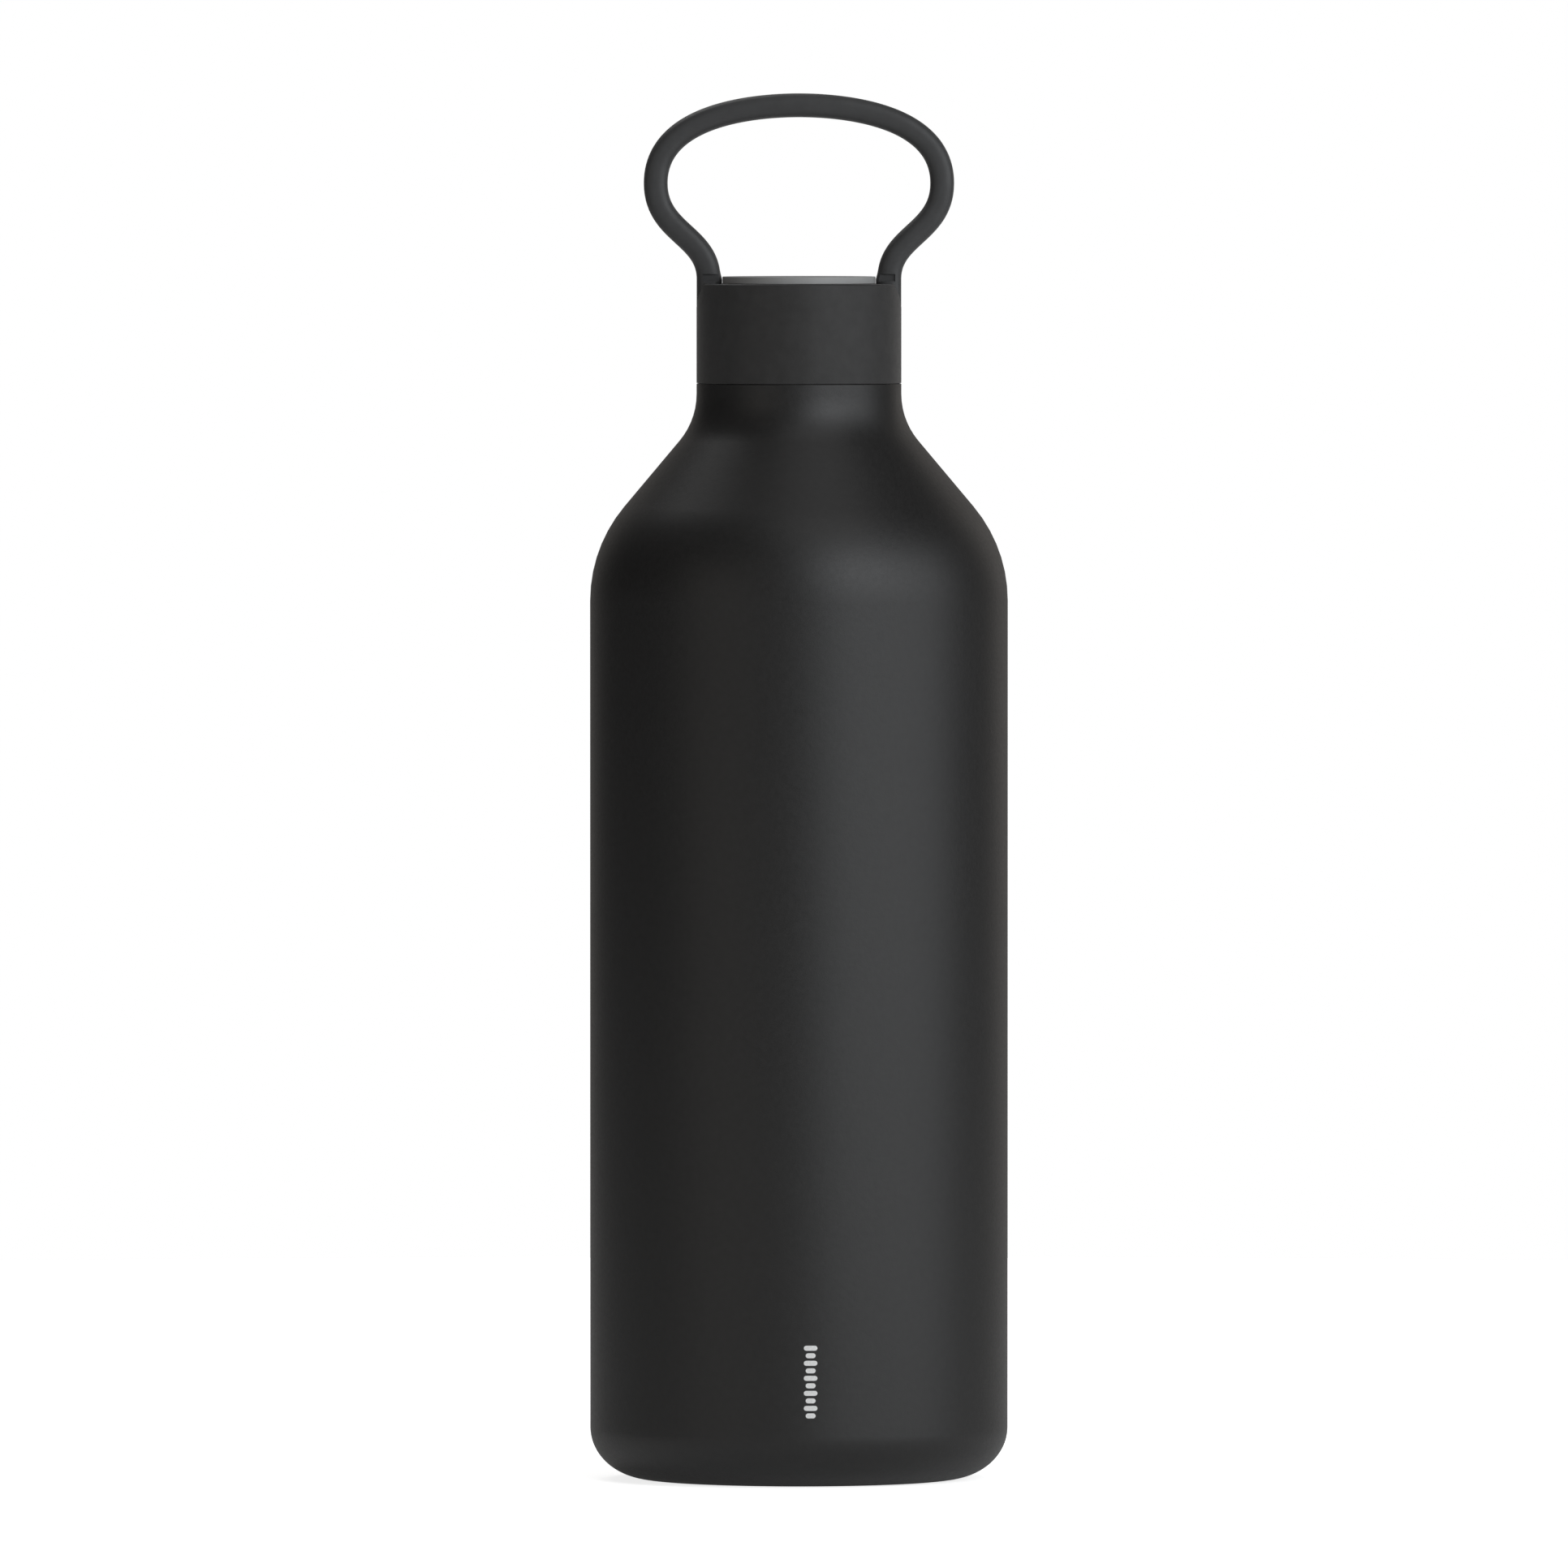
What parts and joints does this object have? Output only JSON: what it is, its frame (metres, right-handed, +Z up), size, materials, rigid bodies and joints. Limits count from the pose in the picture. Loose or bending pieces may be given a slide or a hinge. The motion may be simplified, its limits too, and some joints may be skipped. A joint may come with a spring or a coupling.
{
  "type": "insulated water bottle",
  "caption": "Tall double-walled vacuum bottle with a sloped shoulder, a screw lid flush with the neck and a swinging hoop handle.",
  "frame": {"origin": "centre of the foot ring, on the plane the bottle stands on", "axes": "+Z up along the bottle's axis; +X along the handle's pivot axis, to the right seen from the front; the front, with the printed mark, faces -Y"},
  "size_m": [0.08, 0.08, 0.2652],
  "materials": {
    "powder_coat": "fine-grained matt black powder coat on stainless steel",
    "lid_plastic": "matt black moulded polypropylene, very fine spark texture",
    "core_plastic": "smooth dark grey polypropylene",
    "handle_rubber": "soft-touch black silicone",
    "pad_silicone": "matt black silicone",
    "seal_silicone": "milky translucent silicone",
    "satin_steel": "bead-blasted satin",
    "neck_steel": "bare turned stainless steel",
    "vessel_steel": "electropolished stainless steel",
    "pin_steel": "ground stainless steel",
    "copper_foil": "bright copper foil",
    "getter": "pressed metal powder",
    "seal_glass": "fused dark solder glass",
    "foam": "white foamed plastic",
    "nylon": "natural nylon"
  },
  "bodies": {
    "bottle": {"outer_shell": "powder_coat", "base_cup": "powder_coat", "base_pad": "pad_silicone", "vacuum_seal": "seal_glass", "threaded_neck": "neck_steel", "inner_vessel": "vessel_steel", "vessel_base": "vessel_steel", "radiation_foil": "copper_foil", "getter_holder": "neck_steel", "getter_tablet": "getter"},
    "lid_seal": {"lip_gasket": "seal_silicone"},
    "lid": {"lid_sleeve": "lid_plastic", "top_disc": "satin_steel", "pivot_hub": "core_plastic", "pivot_pin_left": "pin_steel", "pivot_pin_right": "pin_steel", "hub_screw_front": "pin_steel", "hub_screw_back": "pin_steel", "lid_core": "core_plastic", "plug_insulation": "foam", "plug_cover": "core_plastic"},
    "handle": {"handle_core": "pin_steel", "handle_grip": "handle_rubber", "handle_bush_left": "nylon", "handle_bush_right": "nylon"}
  },
  "joints": [
    {"name": "lid_rise", "type": "slide", "parent": "bottle", "child": "lid_seal", "axis": [0, 0, 1], "range_m": [0, 0.01401]},
    {"name": "lid_unscrew", "type": "hinge", "parent": "lid_seal", "child": "lid", "pos_m": [0, 0, 0.2098], "axis": [0, 0, 1], "range_deg": [0, 630]},
    {"name": "handle_swing", "type": "hinge", "parent": "lid", "child": "handle", "pos_m": [0, 0, 0.2274], "axis": [1, 0, 0], "range_deg": [-55, 55]}
  ],
  "couplings": [
    {"joint": "lid_rise", "follows": "lid_unscrew", "m_per_rad": 0.0012732}
  ]
}
